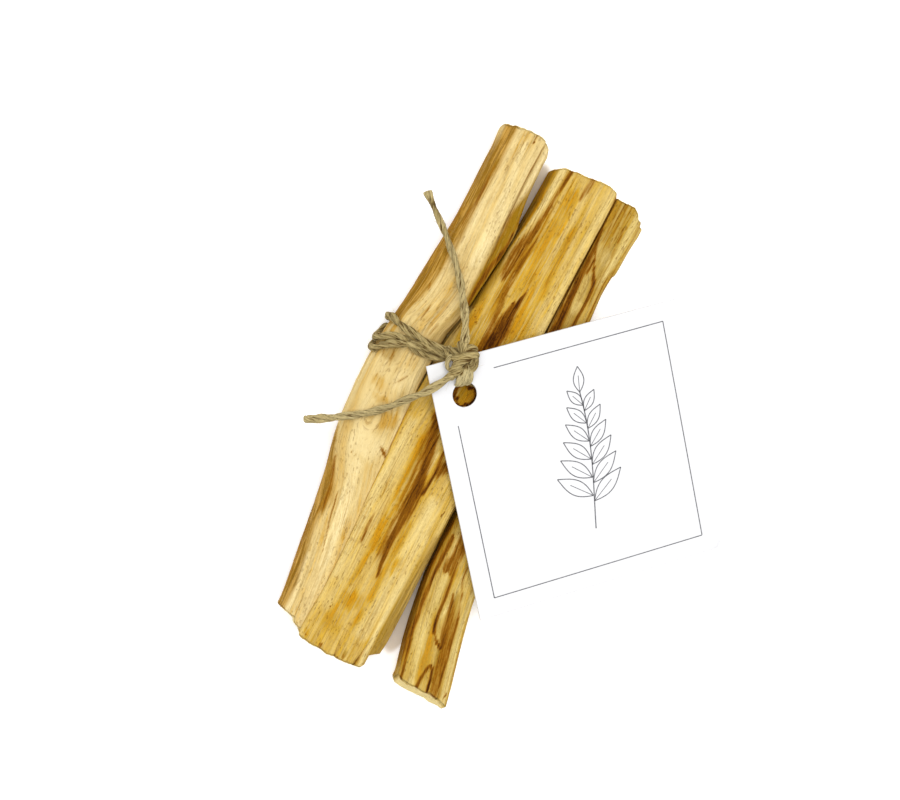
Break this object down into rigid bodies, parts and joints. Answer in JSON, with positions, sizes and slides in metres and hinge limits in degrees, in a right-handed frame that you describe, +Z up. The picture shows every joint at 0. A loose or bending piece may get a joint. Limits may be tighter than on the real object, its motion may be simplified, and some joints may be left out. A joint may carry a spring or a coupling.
{
  "type": "palo santo stick",
  "caption": "Split sticks of aromatic wood tied side by side round the middle with natural twine, with a square punched paper tag hanging from the knot.",
  "frame": {"origin": "on the floor under the middle of the bundle and its tag, with the free ends of the twine left out", "axes": "+Y runs along the middle stick towards the ends that the long free end of the twine points to, +X goes from the left stick to the right one, and +Z is up"},
  "size_m": [0.0844, 0.1056, 0.0194],
  "materials": {
    "wood_left": "raw split wood, pale cream with a brown edge",
    "wood_middle": "raw split wood, golden with dark resin streaks",
    "wood_right": "raw split wood, golden brown with dark veins",
    "twine": "hairy natural two-ply twine",
    "tag": "smooth white card"
  },
  "bodies": {
    "root": {"stick_left": "wood_left", "stick_middle": "wood_middle", "stick_right": "wood_right", "twine": "twine", "twine_tail_up": "twine", "twine_tail_side": "twine", "tag": "tag"}
  },
  "joints": []
}
